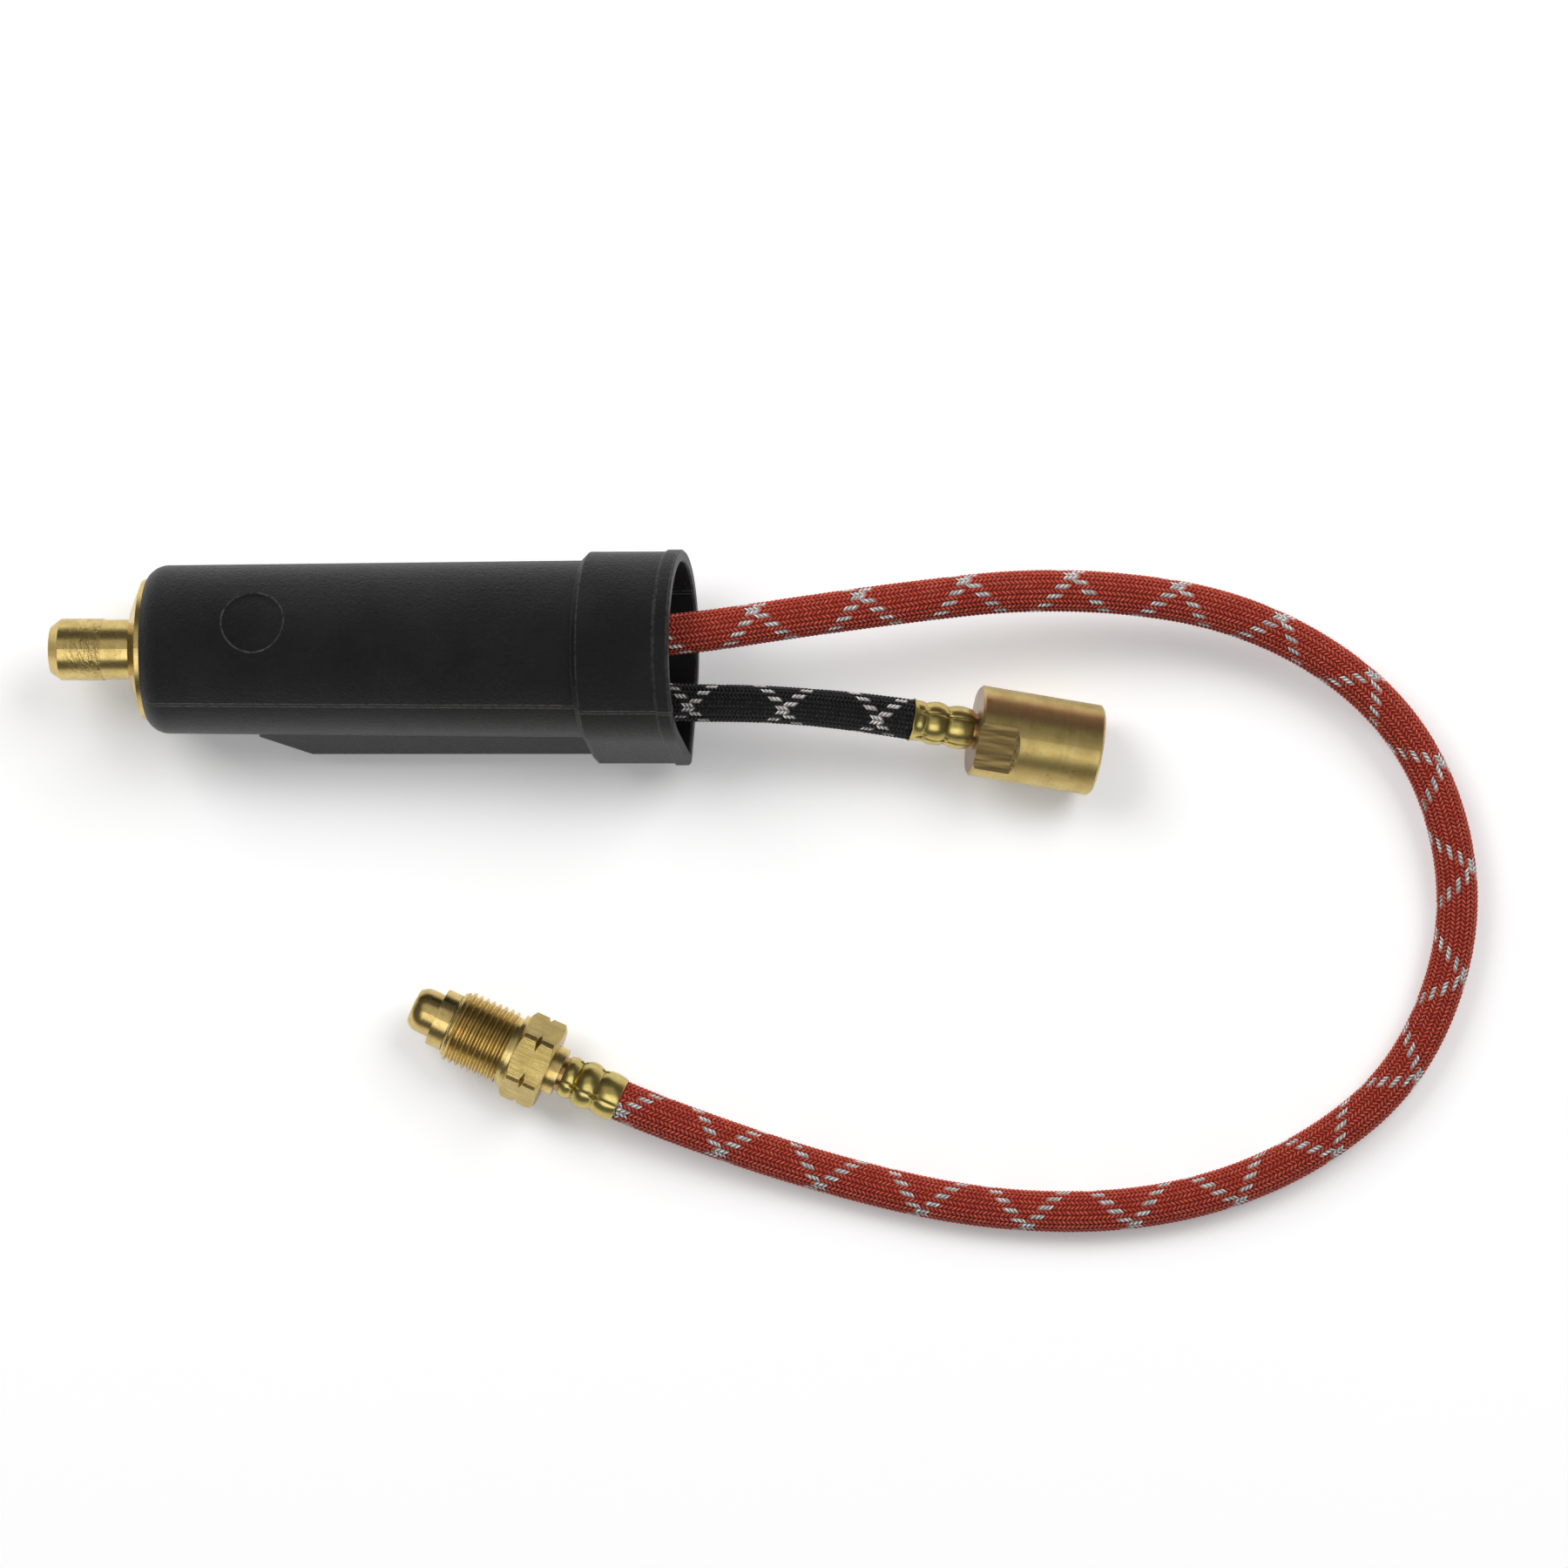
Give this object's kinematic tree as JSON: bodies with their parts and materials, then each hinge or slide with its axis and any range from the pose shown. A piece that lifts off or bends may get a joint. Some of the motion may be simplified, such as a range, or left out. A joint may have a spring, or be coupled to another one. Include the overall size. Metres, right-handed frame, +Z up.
{
  "type": "tig torch connector",
  "caption": "Bayonet cable plug for a water-cooled TIG torch: brass pin in a sliding rubber boot, a long red return hose with a male nut fitting and a short black hose with a threaded coupler.",
  "frame": {"origin": "on the surface it lies on, at the middle of the booted plug's footprint", "axes": "+X from the plug's pin towards the boot's open mouth, +Y to the side of the plug that the long hose leaves by, +Z up"},
  "size_m": [0.2982, 0.1426, 0.0411],
  "materials": {
    "boot_rubber": "matt moulded rubber with a fine leathery texture",
    "turned_brass": "turned brass with fine lathe lines",
    "crimped_brass": "bright crimped brass",
    "copper": "bare copper",
    "red_braid": "woven red textile braid with white tracers",
    "black_braid": "woven black textile braid with white tracers",
    "hose_liner": "smooth black rubber tube",
    "seal_rubber": "smooth black rubber"
  },
  "bodies": {
    "plug": {"connector_plug": "turned_brass", "manifold_block": "turned_brass", "manifold_seal": "seal_rubber", "gallery_plug": "turned_brass", "return_nipple": "turned_brass", "power_nipple": "turned_brass", "nipple_washers": "copper", "return_inner_ferrule": "crimped_brass", "power_inner_ferrule": "crimped_brass", "return_hose_braid": "red_braid", "return_hose_liner": "hose_liner", "power_hose_braid": "black_braid", "power_hose_liner": "hose_liner", "power_conductor": "copper", "return_end_ferrule": "crimped_brass", "power_end_ferrule": "crimped_brass", "bull_nose_stem": "turned_brass", "power_coupler": "turned_brass", "power_stem": "turned_brass"},
    "boot": {"boot": "boot_rubber"},
    "nut": {"coupling_nut": "turned_brass"}
  },
  "joints": [
    {"name": "boot_slide", "type": "slide", "parent": "plug", "child": "boot", "axis": [0.9996, 0, 0.0283], "range_m": [0, 0.04]},
    {"name": "nut_turn", "type": "hinge", "parent": "plug", "child": "nut", "pos_m": [0.008, -0.0728, 0.00855], "axis": [-0.9095, 0.4158, 0], "continuous": true}
  ]
}
